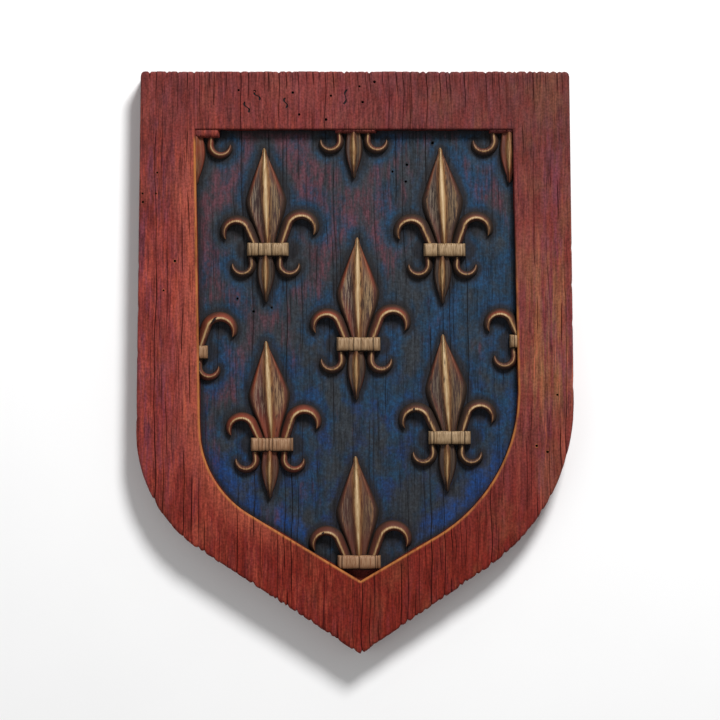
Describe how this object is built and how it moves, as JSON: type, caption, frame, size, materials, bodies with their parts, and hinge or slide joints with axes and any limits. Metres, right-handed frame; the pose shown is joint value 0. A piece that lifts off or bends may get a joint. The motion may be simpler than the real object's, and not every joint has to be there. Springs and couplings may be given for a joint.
{
  "type": "heater shield",
  "caption": "Heater shield carved from one board, a raised frame round a sunk field of fleurs-de-lis in relief, painted red and blue with gilt carving.",
  "frame": {"origin": "centre of the bounding box, on the flat back", "axes": "+Z out of the carved face, +Y towards the straight top edge, +X to the right as the face is seen"},
  "size_m": [0.24, 0.32, 0.02],
  "materials": {
    "painted_wood": "distressed paint, semi-matt"
  },
  "bodies": {
    "root": {"shield": "painted_wood"}
  },
  "joints": []
}
